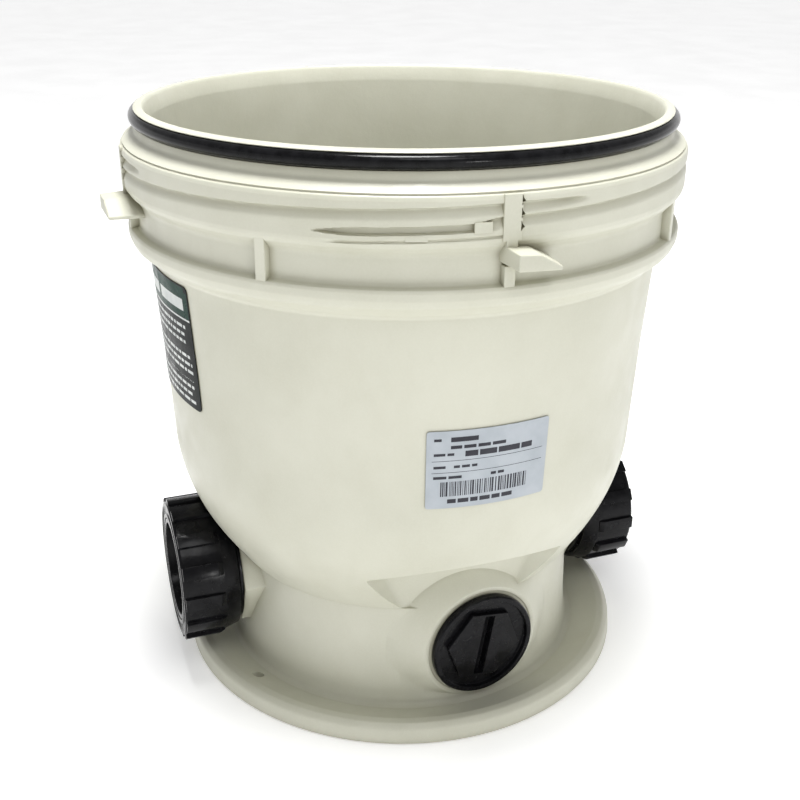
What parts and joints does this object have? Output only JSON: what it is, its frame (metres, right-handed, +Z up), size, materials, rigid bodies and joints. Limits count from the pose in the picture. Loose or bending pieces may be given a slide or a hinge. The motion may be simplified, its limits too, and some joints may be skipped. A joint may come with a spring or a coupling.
{
  "type": "pool filter lower tank",
  "caption": "Open-topped lower tank of a two-piece pool cartridge filter: threaded collar with stop lugs, rim O-ring, side unions, drain plug and element seat.",
  "frame": {"origin": "middle of the flat underside, on the tank's axis", "axes": "+Z up along the tank's axis, out of the open top; -X through the inlet port, +X through the outlet port; the drain plug faces -Y, turned a few degrees towards +X"},
  "size_m": [0.3578, 0.3578, 0.356],
  "materials": {
    "cream_shell": "satin moulded cream plastic",
    "black_plastic": "semi-gloss moulded black plastic",
    "rubber": "greased black rubber",
    "grey_plastic": "matte moulded grey plastic",
    "steel": "plain stainless steel",
    "label_silver": "satin printed film",
    "label_dark": "satin printed film"
  },
  "bodies": {
    "tank": {"tank_shell": "cream_shell", "tank_o_ring": "rubber", "inlet_bulkhead_body": "black_plastic", "inlet_bulkhead_gasket": "rubber", "inlet_locknut": "black_plastic", "inlet_union_o_ring": "rubber", "outlet_bulkhead_body": "black_plastic", "outlet_bulkhead_gasket": "rubber", "outlet_locknut": "black_plastic", "outlet_union_o_ring": "rubber", "outlet_elbow": "grey_plastic", "elbow_o_ring": "rubber", "cartridge_seat": "grey_plastic", "seat_screw_1": "steel", "seat_screw_2": "steel", "seat_screw_3": "steel", "seat_screw_4": "steel", "inlet_diffuser": "grey_plastic", "part_label": "label_silver", "instruction_label": "label_dark"},
    "inlet_tail": {"inlet_tailpiece": "black_plastic"},
    "inlet_nut": {"inlet_union_nut": "black_plastic"},
    "outlet_tail": {"outlet_tailpiece": "black_plastic"},
    "outlet_nut": {"outlet_union_nut": "black_plastic"},
    "drain_seal": {"drain_plug_o_ring": "rubber"},
    "drain_plug": {"drain_plug": "black_plastic"}
  },
  "joints": [
    {"name": "inlet_tail_slide", "type": "slide", "parent": "tank", "child": "inlet_tail", "axis": [-1, 0, 0], "range_m": [0, 0.01271]},
    {"name": "inlet_nut_turn", "type": "hinge", "parent": "inlet_tail", "child": "inlet_nut", "pos_m": [-0.14, 0, 0.0628], "axis": [-1, 0, 0], "range_deg": [0, 1440]},
    {"name": "outlet_tail_slide", "type": "slide", "parent": "tank", "child": "outlet_tail", "axis": [1, 0, 0], "range_m": [0, 0.01271]},
    {"name": "outlet_nut_turn", "type": "hinge", "parent": "outlet_tail", "child": "outlet_nut", "pos_m": [0.14, 0, 0.0628], "axis": [1, 0, 0], "range_deg": [0, 1440]},
    {"name": "drain_seal_slide", "type": "slide", "parent": "tank", "child": "drain_seal", "axis": [0.0958, -0.9954, 0], "range_m": [0, 0.01105]},
    {"name": "drain_plug_turn", "type": "hinge", "parent": "drain_seal", "child": "drain_plug", "pos_m": [0.01054, -0.10949, 0.0445], "axis": [0.0958, -0.9954, 0], "range_deg": [0, 1800]}
  ],
  "couplings": [
    {"joint": "inlet_tail_slide", "follows": "inlet_nut_turn", "m_per_rad": 0.00050531},
    {"joint": "outlet_tail_slide", "follows": "outlet_nut_turn", "m_per_rad": 0.00050531},
    {"joint": "drain_seal_slide", "follows": "drain_plug_turn", "m_per_rad": 0.00035157}
  ]
}
